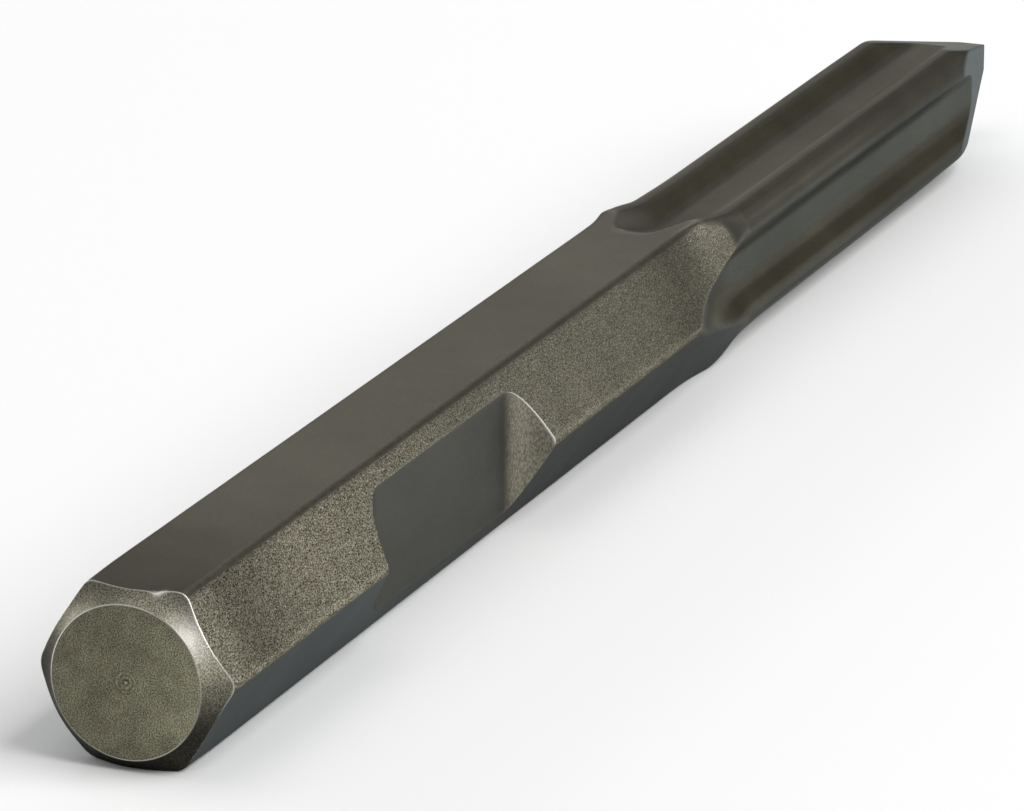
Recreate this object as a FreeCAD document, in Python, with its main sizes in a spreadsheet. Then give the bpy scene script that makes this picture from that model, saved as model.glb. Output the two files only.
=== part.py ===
# Pointed chisel bit with a 28 mm hexagonal shank and a ribbed, self-sharpening working section.
# One forging: hexagon shank, retainer notch across one corner, four ribs with the grooves
# between them running out into the hexagon, and a four-sided point.
# Frame in millimetres: the origin is the centre of the striking face, +X runs along the tool
# to its point, +Z is the normal of the upper flat and the notch opens towards -Y.

import FreeCAD, Part
import math
import os

import Sketcher

NODE = "chisel_bit"
V = FreeCAD.Vector

doc = FreeCAD.newDocument("PointedChiselBit")

sizes = {
    "overall_length": 400.0,
    "across_flats": 28.0,
    "corner_radius": 1.8,
    "face_radius": 12.2,
    "end_chamfer_length": 2.3,
    "end_chamfer_radius": 17.0,
    "centre_mark_radius": 0.5,
    "centre_mark_depth": 0.4,
    "notch_start": 72.8,
    "notch_floor_length": 53.4,
    "notch_floor_reach": 10.2,
    "notch_end_radius": 10.0,
    "swell_start": 203.0,
    "swell_rise": 21.0,
    "swell_fall": 19.0,
    "swell_across_flats": 28.6,
    "swell_corner_radius": 0.6,
    "rib_reach": 14.5,
    "rib_width": 7.0,
    "rib_edge_radius": 2.5,
    "groove_reach": 8.2,
    "groove_fillet_radius": 4.1,
    "groove_full_depth_at": 239.6,
    "runout_radius": 62.0,
    "runout_angle": 17.0,
    "point_half_angle": 12.8,
    "point_end_width": 5.0,
}

# The cutting profiles run on past the metal that they take away, along the tool and outwards,
# and the grooves' profile clears the crests by a hair so that no two faces lie in one another.
overrun = 6.0
clearShare = 0.7
lip = 0.03
pastEnd = "Sizes.overall_length + %g" % overrun
clearReach = "Sizes.across_flats * %g" % clearShare

sheet = doc.addObject("Spreadsheet::Sheet", "Sizes")
for row, (alias, value) in enumerate(sizes.items(), start=1):
    sheet.set("A%d" % row, alias)
    sheet.set("B%d" % row, str(value))
    sheet.setAlias("B%d" % row, alias)
doc.recompute()

body = doc.addObject("PartDesign::Body", "ChiselBit")
body.Label = NODE


def size(alias):
    return float(sheet.get(alias))


def originFeature(role):
    for feature in body.Origin.OriginFeatures:
        if feature.Role == role:
            return feature
    raise ValueError("no origin feature " + role)


def newSketch(name, plane, offset=None):
    sketch = body.newObject("Sketcher::SketchObject", name)
    sketch.AttachmentSupport = [(originFeature(plane), "")]
    sketch.MapMode = "FlatFace"
    if offset:
        sketch.setExpression(".AttachmentOffset.Base.z", offset)
    return sketch


# Add one driving dimension to a sketch and bind it to the sizes.
def dimension(sketch, name, constraint, expression):
    index = sketch.addConstraint(constraint)
    sketch.renameConstraint(index, name)
    sketch.setExpression("Constraints." + name, expression)


def addLine(sketch, start, end):
    return sketch.addGeometry(Part.LineSegment(V(*start, 0), V(*end, 0)), False)


def addArc(sketch, centre, radius, startAngle, endAngle):
    circle = Part.Circle(V(*centre, 0), V(0, 0, 1), radius)
    arc = Part.ArcOfCircle(circle, math.radians(startAngle), math.radians(endAngle))
    return sketch.addGeometry(arc, False)


def join(sketch, first, firstEnd, second, secondEnd, kind="Coincident"):
    sketch.addConstraint(Sketcher.Constraint(kind, first, firstEnd, second, secondEnd))


def newFeature(kind, name, profile):
    feature = body.newObject(kind, name)
    feature.Profile = profile
    profile.Visibility = False
    return feature


# Repeat a cut at the four ribs, grooves or facets around the tool's axis.
def fourTimes(name, feature):
    pattern = body.newObject("PartDesign::PolarPattern", name)
    pattern.Originals = [feature]
    pattern.Axis = (originFeature("X_Axis"), [""])
    pattern.Angle = 360.0
    pattern.Occurrences = 4
    body.Tip = pattern
    doc.recompute()


# Hexagon section with rounded corners, drawn across the tool at one station.
# Flats have their normals at 30, 90, 150 ... degrees from +Y, so numbers 1 and 4 are the upper
# flat and the one that the bit lies on, and the other four are the side flats.
def hexagonSection(name, station, sideFlats, cornerRadius):
    sketch = newSketch(name, "YZ_Plane", station)
    radius = size(cornerRadius)
    acrossFlats = ["across_flats" if k in (1, 4) else sideFlats for k in range(6)]
    inner = [size(alias) / 2 - radius for alias in acrossFlats]
    centres = []
    for k in range(6):
        here, there = math.radians(30 + 60 * k), math.radians(90 + 60 * k)
        along = (inner[(k + 1) % 6] - inner[k] * math.cos(there - here)) / math.sin(there - here)
        centres.append((inner[k] * math.cos(here) - along * math.sin(here),
                        inner[k] * math.sin(here) + along * math.cos(here)))
    lines = []
    arcs = []
    for k in range(6):
        angle = 30 + 60 * k
        out = (radius * math.cos(math.radians(angle)), radius * math.sin(math.radians(angle)))
        start, end = centres[k - 1], centres[k]
        lines.append(addLine(sketch, (start[0] + out[0], start[1] + out[1]),
                             (end[0] + out[0], end[1] + out[1])))
        arcs.append(addArc(sketch, end, radius, angle, angle + 60))
    for k in range(6):
        join(sketch, lines[k], 2, arcs[k], 1, "Tangent")
        join(sketch, arcs[k], 2, lines[(k + 1) % 6], 1, "Tangent")
    for k in range(3):
        sketch.addConstraint(Sketcher.Constraint("Parallel", lines[k], lines[k + 3]))
    sketch.addConstraint(Sketcher.Constraint("Horizontal", lines[1]))
    sketch.addConstraint(Sketcher.Constraint("Angle", lines[0], math.radians(120)))
    sketch.addConstraint(Sketcher.Constraint("Angle", lines[2], math.radians(-120)))
    for k in range(1, 6):
        sketch.addConstraint(Sketcher.Constraint("Equal", arcs[0], arcs[k]))
    dimension(sketch, "cornerRadius", Sketcher.Constraint("Radius", arcs[0], radius),
              "Sizes." + cornerRadius)
    for k in range(6):
        dimension(sketch, "flat%d" % k,
                  Sketcher.Constraint("Distance", -1, 1, lines[k], inner[k] + radius),
                  "Sizes.%s / 2" % acrossFlats[k])
    return sketch


# Shank: the hexagon from the striking face to where the forging swells.
shankSection = hexagonSection("ShankSection", None, "across_flats", "corner_radius")
shank = newFeature("PartDesign::Pad", "Shank", shankSection)
shank.setExpression("Length", "Sizes.swell_start")
doc.recompute()

# Swell: metal pressed out of the grooves fills the corners and crowns the side flats, and the
# upper and the lower flat stay level.
peakStation = "Sizes.swell_start + Sizes.swell_rise"
endStation = peakStation + " + Sizes.swell_fall"
swellStart = hexagonSection("SwellStart", "Sizes.swell_start", "across_flats", "corner_radius")
swellPeak = hexagonSection("SwellPeak", peakStation, "swell_across_flats", "swell_corner_radius")
swellEnd = hexagonSection("SwellEnd", endStation, "across_flats", "corner_radius")
swell = newFeature("PartDesign::AdditiveLoft", "Swell", swellStart)
swell.Sections = [swellPeak, swellEnd]
swell.Ruled = False
doc.recompute()

# Bar: the hexagon on to the end of the tool, from which ribs and point are cut.
barSection = hexagonSection("BarSection", endStation, "across_flats", "corner_radius")
bar = newFeature("PartDesign::Pad", "Bar", barSection)
bar.setExpression("Length", "Sizes.overall_length - (%s)" % endStation)
doc.recompute()

far = size("overall_length") + overrun
high = size("across_flats")
rampAngle = size("runout_angle")
full = size("groove_full_depth_at")
reach = size("rib_reach")

# Rib crests: a flat along each rib, leaving the hexagon on a long arc that keeps step with the
# grooves' own. The sketch plane holds the axis and the first rib, 45 degrees between two grooves.
crest = newSketch("CrestProfile", "XZ_Plane")
crest.AttachmentOffset = FreeCAD.Placement(V(0, 0, 0), FreeCAD.Rotation(V(1, 0, 0), 45))
crestRadius = size("runout_radius") * math.sqrt(2)
rise = crestRadius * (1 - math.cos(math.radians(rampAngle)))
runStart = full - crestRadius * math.sin(math.radians(rampAngle))
crestLine = addLine(crest, (far, reach), (full, reach))
crestArc = addArc(crest, (full, reach + crestRadius), crestRadius, 270 - rampAngle, 270)
crestBack = addLine(crest, (runStart, reach + rise), (runStart, high))
crestTop = addLine(crest, (runStart, high), (far, high))
crestFront = addLine(crest, (far, high), (far, reach))
join(crest, crestLine, 2, crestArc, 2, "Tangent")
join(crest, crestArc, 1, crestBack, 1)
join(crest, crestBack, 2, crestTop, 1)
join(crest, crestTop, 2, crestFront, 1)
join(crest, crestFront, 2, crestLine, 1)
crest.addConstraint(Sketcher.Constraint("Horizontal", crestLine))
crest.addConstraint(Sketcher.Constraint("Vertical", crestBack))
crest.addConstraint(Sketcher.Constraint("Horizontal", crestTop))
crest.addConstraint(Sketcher.Constraint("Vertical", crestFront))
dimension(crest, "reach", Sketcher.Constraint("DistanceY", -1, 1, crestLine, 1, reach),
          "Sizes.rib_reach")
dimension(crest, "fullDepth", Sketcher.Constraint("DistanceX", -1, 1, crestLine, 2, full),
          "Sizes.groove_full_depth_at")
dimension(crest, "frontEnd", Sketcher.Constraint("DistanceX", -1, 1, crestLine, 1, far), pastEnd)
dimension(crest, "arcRadius", Sketcher.Constraint("Radius", crestArc, crestRadius),
          "Sizes.runout_radius * sqrt(2)")
dimension(crest, "arcStart", Sketcher.Constraint("DistanceX", -1, 1, crestArc, 1, runStart),
          "Sizes.groove_full_depth_at - Sizes.runout_radius * sqrt(2) * sin(Sizes.runout_angle)")
dimension(crest, "top", Sketcher.Constraint("DistanceY", -1, 1, crestTop, 1, high),
          "Sizes.across_flats")
crestCut = newFeature("PartDesign::Pocket", "CrestCut", crest)
crestCut.Type = "Length"
crestCut.Midplane = True
crestCut.setExpression("Length", "Sizes.across_flats")
doc.recompute()
fourTimes("CrestCuts", crestCut)

# Groove section, seen along the tool: a flat floor, fillets, flanks parallel to the ribs'
# centre lines, and the round of each rib's edge. Above the ribs it only clears the metal.
groove = newSketch("GrooveSection", "YZ_Plane", pastEnd)
floorReach = size("groove_reach")
fillet = size("groove_fillet_radius")
edge = size("rib_edge_radius")
halfRib = size("rib_width") / 2
diag = math.sqrt(0.5)
along = reach + lip - edge
edgeCentre = ((along - halfRib + edge) * diag, (along + halfRib - edge) * diag)
flankEnd = (edgeCentre[0] - edge * diag, edgeCentre[1] + edge * diag)
crestEnd = (edgeCentre[0] + edge * diag, edgeCentre[1] + edge * diag)
filletRise = fillet * (1 - diag)
flankFoot = (floorReach + filletRise - halfRib / diag, floorReach + filletRise)
halfFloor = flankFoot[0] - fillet * diag
outer = (reach, crestEnd[0] + crestEnd[1] - reach)


def mirrored(point):
    return (-point[0], point[1])


floorLine = addLine(groove, (-halfFloor, floorReach), (halfFloor, floorReach))
rightFillet = addArc(groove, (halfFloor, floorReach + fillet), fillet, 270, 315)
rightFlank = addLine(groove, flankFoot, flankEnd)
rightEdge = addArc(groove, edgeCentre, edge, 45, 135)
rightCrest = addLine(groove, crestEnd, outer)
rightWall = addLine(groove, outer, (outer[0], high))
topLine = addLine(groove, (outer[0], high), (-outer[0], high))
leftWall = addLine(groove, (-outer[0], high), mirrored(outer))
leftCrest = addLine(groove, mirrored(outer), mirrored(crestEnd))
leftEdge = addArc(groove, mirrored(edgeCentre), edge, 45, 135)
leftFlank = addLine(groove, mirrored(flankEnd), mirrored(flankFoot))
leftFillet = addArc(groove, (-halfFloor, floorReach + fillet), fillet, 225, 270)
join(groove, floorLine, 2, rightFillet, 1, "Tangent")
join(groove, rightFillet, 2, rightFlank, 1, "Tangent")
join(groove, rightFlank, 2, rightEdge, 2, "Tangent")
join(groove, rightEdge, 1, rightCrest, 1, "Tangent")
join(groove, rightCrest, 2, rightWall, 1)
join(groove, rightWall, 2, topLine, 1)
join(groove, topLine, 2, leftWall, 1)
join(groove, leftWall, 2, leftCrest, 1)
join(groove, leftCrest, 2, leftEdge, 2, "Tangent")
join(groove, leftEdge, 1, leftFlank, 1, "Tangent")
join(groove, leftFlank, 2, leftFillet, 1, "Tangent")
join(groove, leftFillet, 2, floorLine, 1, "Tangent")
groove.addConstraint(Sketcher.Constraint("Horizontal", floorLine))
groove.addConstraint(Sketcher.Constraint("Horizontal", topLine))
groove.addConstraint(Sketcher.Constraint("Vertical", rightWall))
groove.addConstraint(Sketcher.Constraint("Vertical", leftWall))
groove.addConstraint(Sketcher.Constraint("Angle", rightFlank, math.radians(45)))
groove.addConstraint(Sketcher.Constraint("Angle", leftFlank, math.radians(-45)))
groove.addConstraint(Sketcher.Constraint("Angle", rightCrest, math.radians(-45)))
groove.addConstraint(Sketcher.Constraint("Angle", leftCrest, math.radians(45)))
groove.addConstraint(Sketcher.Constraint("Equal", rightFillet, leftFillet))
groove.addConstraint(Sketcher.Constraint("Equal", rightEdge, leftEdge))
dimension(groove, "floorReach", Sketcher.Constraint("DistanceY", -1, 1, floorLine, 1, floorReach),
          "Sizes.groove_reach")
dimension(groove, "filletRadius", Sketcher.Constraint("Radius", rightFillet, fillet),
          "Sizes.groove_fillet_radius")
dimension(groove, "edgeRadius", Sketcher.Constraint("Radius", rightEdge, edge),
          "Sizes.rib_edge_radius")
for name, flank in (("rightRib", rightFlank), ("leftRib", leftFlank)):
    dimension(groove, name, Sketcher.Constraint("Distance", -1, 1, flank, halfRib),
              "Sizes.rib_width / 2")
for name, line in (("rightReach", rightCrest), ("leftReach", leftCrest)):
    dimension(groove, name, Sketcher.Constraint("Distance", -1, 1, line, reach + lip),
              "Sizes.rib_reach + %g" % lip)
for name, line, side in (("rightOuter", rightWall, 1), ("leftOuter", leftWall, -1)):
    ends = (-1, 1, line, 1) if side > 0 else (line, 1, -1, 1)
    dimension(groove, name, Sketcher.Constraint("DistanceX", *ends, outer[0]),
              "Sizes.rib_reach")
dimension(groove, "top", Sketcher.Constraint("DistanceY", -1, 1, topLine, 1, high),
          "Sizes.across_flats")

# Groove floor, seen from the side: level along the ribs, then a long arc and a straight ramp
# that leaves the hexagon.
path = newSketch("GroovePath", "XZ_Plane")
rampRadius = size("runout_radius")
rampTop = size("across_flats") * clearShare
sinRamp, cosRamp = math.sin(math.radians(rampAngle)), math.cos(math.radians(rampAngle))
rampFoot = (full - rampRadius * sinRamp, floorReach + rampRadius * (1 - cosRamp))
rampEnd = (rampFoot[0] - (rampTop - rampFoot[1]) * cosRamp / sinRamp, rampTop)
levelLine = addLine(path, (far, floorReach), (full, floorReach))
rampArc = addArc(path, (full, floorReach + rampRadius), rampRadius, 270 - rampAngle, 270)
rampLine = addLine(path, rampFoot, rampEnd)
join(path, levelLine, 2, rampArc, 2, "Tangent")
join(path, rampArc, 1, rampLine, 1, "Tangent")
path.addConstraint(Sketcher.Constraint("Horizontal", levelLine))
dimension(path, "floorReach", Sketcher.Constraint("DistanceY", -1, 1, levelLine, 1, floorReach),
          "Sizes.groove_reach")
dimension(path, "fullDepth", Sketcher.Constraint("DistanceX", -1, 1, levelLine, 2, full),
          "Sizes.groove_full_depth_at")
dimension(path, "frontEnd", Sketcher.Constraint("DistanceX", -1, 1, levelLine, 1, far), pastEnd)
dimension(path, "arcRadius", Sketcher.Constraint("Radius", rampArc, rampRadius),
          "Sizes.runout_radius")
dimension(path, "rampTurn", Sketcher.Constraint("DistanceX", -1, 1, rampArc, 1, rampFoot[0]),
          "Sizes.groove_full_depth_at - Sizes.runout_radius * sin(Sizes.runout_angle)")
dimension(path, "rampTop", Sketcher.Constraint("DistanceY", -1, 1, rampLine, 2, rampTop),
          clearReach)
grooveCut = newFeature("PartDesign::SubtractivePipe", "GrooveCut", groove)
grooveCut.Spine = (path, [""])
grooveCut.Mode = "Fixed"
path.Visibility = False
doc.recompute()
fourTimes("GrooveCuts", grooveCut)

# Point: four flats at the same angle to the axis, left blunt with a small square end.
point = newSketch("PointProfile", "XZ_Plane")
length = size("overall_length")
halfEnd = size("point_end_width") / 2
slope = math.tan(math.radians(size("point_half_angle")))
facetTop = size("across_flats") * clearShare
facetBack = length - (facetTop - halfEnd) / slope
facet = addLine(point, (length, halfEnd), (facetBack, facetTop))
pointTop = addLine(point, (facetBack, facetTop), (far, facetTop))
pointFront = addLine(point, (far, facetTop), (far, halfEnd))
pointFoot = addLine(point, (far, halfEnd), (length, halfEnd))
join(point, facet, 2, pointTop, 1)
join(point, pointTop, 2, pointFront, 1)
join(point, pointFront, 2, pointFoot, 1)
join(point, pointFoot, 2, facet, 1)
point.addConstraint(Sketcher.Constraint("Horizontal", pointTop))
point.addConstraint(Sketcher.Constraint("Vertical", pointFront))
point.addConstraint(Sketcher.Constraint("Horizontal", pointFoot))
dimension(point, "endX", Sketcher.Constraint("DistanceX", -1, 1, facet, 1, length),
          "Sizes.overall_length")
dimension(point, "endHalf", Sketcher.Constraint("DistanceY", -1, 1, facet, 1, halfEnd),
          "Sizes.point_end_width / 2")
dimension(point, "facetBack", Sketcher.Constraint("DistanceX", -1, 1, facet, 2, facetBack),
          "Sizes.overall_length - (%s - Sizes.point_end_width / 2)"
          " / tan(Sizes.point_half_angle)" % clearReach)
dimension(point, "top", Sketcher.Constraint("DistanceY", -1, 1, pointTop, 1, facetTop),
          clearReach)
dimension(point, "frontEnd", Sketcher.Constraint("DistanceX", -1, 1, pointFront, 1, far), pastEnd)
pointCut = newFeature("PartDesign::Pocket", "PointCut", point)
pointCut.Type = "Length"
pointCut.Midplane = True
pointCut.setExpression("Length", "Sizes.across_flats * 2")
doc.recompute()
fourTimes("PointCuts", pointCut)

# Striking end: the hexagon turned down to a round face on a hollow chamfer.
chamfer = newSketch("EndChamferProfile", "XZ_Plane")
faceRadius = size("face_radius")
chamferRadius = size("end_chamfer_radius")
midX, midR = size("end_chamfer_length"), size("across_flats") / 2
chord = math.hypot(midX, midR - faceRadius)
toCentre = math.sqrt(chamferRadius ** 2 - (chord / 2) ** 2)
centre = (midX / 2 - toCentre * (midR - faceRadius) / chord,
          (faceRadius + midR) / 2 + toCentre * midX / chord)
outerR = size("across_flats") * clearShare
startAngle = math.degrees(math.atan2(faceRadius - centre[1], -centre[0]))
outerX = centre[0] + math.sqrt(chamferRadius ** 2 - (outerR - centre[1]) ** 2)
endAngle = math.degrees(math.atan2(outerR - centre[1], outerX - centre[0]))
hollow = addArc(chamfer, centre, chamferRadius, startAngle, endAngle)
chamferTop = addLine(chamfer, (outerX, outerR), (0, outerR))
chamferBack = addLine(chamfer, (0, outerR), (0, faceRadius))
flatPoint = chamfer.addGeometry(Part.Point(V(midX, midR, 0)), True)
join(chamfer, hollow, 2, chamferTop, 1)
join(chamfer, chamferTop, 2, chamferBack, 1)
join(chamfer, chamferBack, 2, hollow, 1)
chamfer.addConstraint(Sketcher.Constraint("Horizontal", chamferTop))
chamfer.addConstraint(Sketcher.Constraint("PointOnObject", chamferBack, 1, -2))
chamfer.addConstraint(Sketcher.Constraint("PointOnObject", chamferBack, 2, -2))
chamfer.addConstraint(Sketcher.Constraint("PointOnObject", flatPoint, 1, hollow))
dimension(chamfer, "faceRadius", Sketcher.Constraint("DistanceY", -1, 1, hollow, 1, faceRadius),
          "Sizes.face_radius")
dimension(chamfer, "hollowRadius", Sketcher.Constraint("Radius", hollow, chamferRadius),
          "Sizes.end_chamfer_radius")
dimension(chamfer, "flatX", Sketcher.Constraint("DistanceX", -1, 1, flatPoint, 1, midX),
          "Sizes.end_chamfer_length")
dimension(chamfer, "flatR", Sketcher.Constraint("DistanceY", -1, 1, flatPoint, 1, midR),
          "Sizes.across_flats / 2")
dimension(chamfer, "outerR", Sketcher.Constraint("DistanceY", -1, 1, chamferTop, 1, outerR),
          clearReach)
endChamfer = newFeature("PartDesign::Groove", "EndChamfer", chamfer)
endChamfer.ReferenceAxis = (originFeature("X_Axis"), [""])
endChamfer.Angle = 360.0
doc.recompute()

# Centre mark of the turned face.
mark = newSketch("CentreMarkProfile", "XZ_Plane")
markRadius, markDepth = size("centre_mark_radius"), size("centre_mark_depth")
markSide = addLine(mark, (0, 0), (0, markRadius))
markCone = addLine(mark, (0, markRadius), (markDepth, 0))
markAxis = addLine(mark, (markDepth, 0), (0, 0))
join(mark, markSide, 2, markCone, 1)
join(mark, markCone, 2, markAxis, 1)
join(mark, markAxis, 2, markSide, 1)
join(mark, markSide, 1, -1, 1)
mark.addConstraint(Sketcher.Constraint("Vertical", markSide))
mark.addConstraint(Sketcher.Constraint("Horizontal", markAxis))
dimension(mark, "radius", Sketcher.Constraint("DistanceY", -1, 1, markSide, 2, markRadius),
          "Sizes.centre_mark_radius")
dimension(mark, "depth", Sketcher.Constraint("DistanceX", -1, 1, markCone, 2, markDepth),
          "Sizes.centre_mark_depth")
centreMark = newFeature("PartDesign::Groove", "CentreMark", mark)
centreMark.ReferenceAxis = (originFeature("X_Axis"), [""])
centreMark.Angle = 360.0
doc.recompute()

# Retainer notch: milled across the corner towards -Y, flat floor, round ends.
notch = newSketch("NotchProfile", "XY_Plane")
notchStart = size("notch_start")
notchLength = size("notch_floor_length")
notchFloor = size("notch_floor_reach")
notchEnd = size("notch_end_radius")
notchTop = -notchFloor - notchEnd
notchFloorLine = addLine(notch, (notchStart, -notchFloor), (notchStart + notchLength, -notchFloor))
farArc = addArc(notch, (notchStart + notchLength, notchTop), notchEnd, 0, 90)
mouth = addLine(notch, (notchStart + notchLength + notchEnd, notchTop),
                (notchStart - notchEnd, notchTop))
nearArc = addArc(notch, (notchStart, notchTop), notchEnd, 90, 180)
join(notch, notchFloorLine, 2, farArc, 2, "Tangent")
join(notch, farArc, 1, mouth, 1)
join(notch, mouth, 2, nearArc, 2)
join(notch, nearArc, 1, notchFloorLine, 1, "Tangent")
notch.addConstraint(Sketcher.Constraint("Horizontal", notchFloorLine))
notch.addConstraint(Sketcher.Constraint("Equal", nearArc, farArc))
dimension(notch, "start", Sketcher.Constraint("DistanceX", -1, 1, notchFloorLine, 1, notchStart),
          "Sizes.notch_start")
dimension(notch, "floorLength",
          Sketcher.Constraint("DistanceX", notchFloorLine, 1, notchFloorLine, 2, notchLength),
          "Sizes.notch_floor_length")
dimension(notch, "floorReach",
          Sketcher.Constraint("DistanceY", notchFloorLine, 1, -1, 1, notchFloor),
          "Sizes.notch_floor_reach")
dimension(notch, "endRadius", Sketcher.Constraint("Radius", farArc, notchEnd),
          "Sizes.notch_end_radius")
dimension(notch, "mouthNear", Sketcher.Constraint("DistanceY", nearArc, 2, -1, 1, -notchTop),
          "Sizes.notch_floor_reach + Sizes.notch_end_radius")
dimension(notch, "mouthFar", Sketcher.Constraint("DistanceY", farArc, 1, -1, 1, -notchTop),
          "Sizes.notch_floor_reach + Sizes.notch_end_radius")
notchCut = newFeature("PartDesign::Pocket", "NotchCut", notch)
notchCut.Type = "Length"
notchCut.Midplane = True
notchCut.setExpression("Length", "Sizes.across_flats * 2")
body.Tip = notchCut
doc.recompute()

# Check every step of the model before anything is written.
for obj in doc.Objects:
    if "Invalid" in obj.State or "Error" in obj.State:
        raise RuntimeError("failed step: " + obj.Name)
    if obj.isDerivedFrom("PartDesign::Feature"):
        print("%-12s %12.2f" % (obj.Name, obj.Shape.Volume))
shape = body.Shape
if shape.isNull() or not shape.isValid() or len(shape.Solids) != 1:
    raise RuntimeError("the bit isn't one valid solid")

os.makedirs("parts", exist_ok=True)
shape.exportStep(os.path.join("parts", body.Label + ".step"))
print("volume %.1f mm3, mass %.3f kg" % (shape.Volume, shape.Volume * 7.85e-6))
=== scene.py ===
import math

import bmesh
import bpy
import numpy as np
from mathutils import Euler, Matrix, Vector, noise


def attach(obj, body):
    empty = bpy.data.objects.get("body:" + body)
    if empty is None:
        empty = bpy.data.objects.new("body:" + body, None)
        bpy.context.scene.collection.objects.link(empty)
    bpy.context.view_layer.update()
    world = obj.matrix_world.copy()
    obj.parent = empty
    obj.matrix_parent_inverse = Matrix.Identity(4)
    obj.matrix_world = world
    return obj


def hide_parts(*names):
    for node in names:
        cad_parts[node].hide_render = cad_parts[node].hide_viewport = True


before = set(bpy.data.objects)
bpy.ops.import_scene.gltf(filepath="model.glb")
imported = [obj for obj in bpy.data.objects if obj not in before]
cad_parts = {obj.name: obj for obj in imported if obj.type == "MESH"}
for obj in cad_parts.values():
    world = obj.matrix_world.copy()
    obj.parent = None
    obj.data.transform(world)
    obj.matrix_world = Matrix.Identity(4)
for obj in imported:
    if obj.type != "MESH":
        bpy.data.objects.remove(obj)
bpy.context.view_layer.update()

scene = bpy.context.scene
scene.view_settings.view_transform = "Standard"
mm = 0.001

# lengths in mm and angles in degrees; x runs from the striking face to the point, and angles turn
# about the axis: 0 is the notched corner, 90 the upper flat, -90 the flat that the bit lies on
bar = {
    "length": 400.0,
    "halfFlats": 14.0,
    "cornerRound": 1.8,
    "farCornerRound": 1.1,
    "frontRound": {"more": 1.1, "upTo": 14.0, "fade": 10.0},
    "hollows": {"deep": 0.03, "apart": 12.0, "reach": 15.5},
    "swellCorners": 205.0,
    "swellFlats": 213.0,
    "upperSwell": {"full": 222.0, "growth": 0.42, "cornerRound": 0.6,
                   "knuckle": 0.85, "knuckleAt": 225.5},
    "lowerSwell": {"full": 230.0, "growth": 0.50, "cornerRound": 0.6,
                   "knuckle": 0.62, "knuckleAt": 230.0},
    "knuckle": {"aside": 53.0, "wide": 8.0, "long": 6.5},
    "levelShort": 0.002,
    "columns": 192,
    "cornerColumns": {"halfWide": 0.9, "reach": 15.646},
    "columnsTurn": {"from": 206.0, "over": 36.0},
}

working = {
    "from": 198.0,
    "crestReach": 14.5,
    "ribWidth": 7.0,
    "ribEdgeRound": 2.5,
    "grooveFloor": 8.2,
    "grooveFillet": 4.1,
    "outlinePoints": {"floor": 8, "fillet": 24, "flank": 12, "edge": 28},
    "fullDepthAt": 239.6,
    "runoutRadius": 62.0,
    "rampAngle": 17.0,
    "lowerIsLater": {"by": 4.7, "over": 24.0},
    "crestRise": {"at": 229.5, "high": 0.85, "long": 6.5, "wide": 16.0, "lowerShare": 0.85,
                  "tailAt": 240.0, "tail": 0.28, "tailLong": 9.0},
    "crestDroop": {"from": 335.0, "over": 25.0, "upper": 0.08, "lower": 0.2},
    "rimSoft": 0.7,
    "pointFrom": 340.0,
    "pointAngle": 12.8,
    "pointEnd": 5.0,
    "pointSoft": {"facets": 0.35, "upperRibs": 0.9, "lowerRibs": 1.7, "wide": 12.0},
    "ridgeSoft": 0.25,
    "endBlunt": {"long": 0.3, "deep": 0.12},
    "endRings": (0.98, 0.9, 0.75, 0.55, 0.35, 0.15),
}

# rimAt says how far from the face the chamfer meets the hexagon, and rimShine how bright the
# painted highlight along that edge is, both by direction in steps of 30
strikingEnd = {
    "upTo": 8.0,
    "faceRadius": 12.2,
    "faceBevel": 0.08,
    "rimAt": {-150: 2.05, -120: 4.0, -90: 1.85, -60: 3.1, -30: 3.8, 0: 4.4,
              30: 2.8, 60: 4.0, 90: 2.35, 120: 4.25, 150: 1.9, 180: 4.0},
    "rimShine": {-150: 0.3, -120: 0.1, -90: 0.0, -60: 0.0, -30: 0.0, 0: 0.5,
                 30: 0.8, 60: 0.6, 90: 0.25, 120: 0.6, 150: 0.35, 180: 0.4},
    "rimSearch": (0.5, 6.4, 60),
    "hollow": {"deep": 0.20, "long": 3.0},
    "barAt": 5.0,
    "rimSoft": 0.12,
    "rough": {"deep": 0.06, "apart": 0.9, "upTo": 6.5, "fade": 3.0},
    "nick": {"y": -4.0, "width": 0.8, "depth": 0.50, "length": 4.0},
    "dot": {"radius": 0.42, "high": 0.14, "round": 1.3},
    "ring": {"radius": 1.5, "deep": 0.06, "wide": 0.14},
    "dish": {"deep": 0.16, "fade": 0.3},
    "faceRings": (0.12, 0.25, 0.38, 0.5, 0.62, 0.75, 0.88, 1.0, 1.15, 1.3, 1.42, 1.5, 1.58,
                  1.68, 1.8, 1.95, 2.2, 2.8, 3.6, 4.8, 6.2, 7.6, 9.0, 10.2, 11.2, 11.7, 11.9,
                  12.0, 12.06),
}

# longEdge is the direction in which the notch's floor meets the flats on either side
notch = {
    "start": 72.8,
    "end": 126.2,
    "floor": 10.2,
    "endRadius": 10.0,
    "rimSoft": 0.10,
    "longEdge": 45.35,
    "besideEdge": 0.25,
    "measuredAt": (67.0, 132.0),
}


def ease(t):
    t = np.clip(t, 0.0, 1.0)
    return t * t * (3.0 - 2.0 * t)


def hump(value, middle, width):
    return np.exp(-((value - middle) / width) ** 2)


# the smaller of two reaches, with the edge between them rounded
def softMin(a, b, width):
    closeness = np.maximum(width - np.abs(a - b), 0.0) / width
    return np.minimum(a, b) - closeness * closeness * width * 0.25


def degCos(angle):
    return np.cos(np.radians(angle))


def degSin(angle):
    return np.sin(np.radians(angle))


def offBy(angle, step):
    return angle - step * np.round(angle / step)


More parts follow.
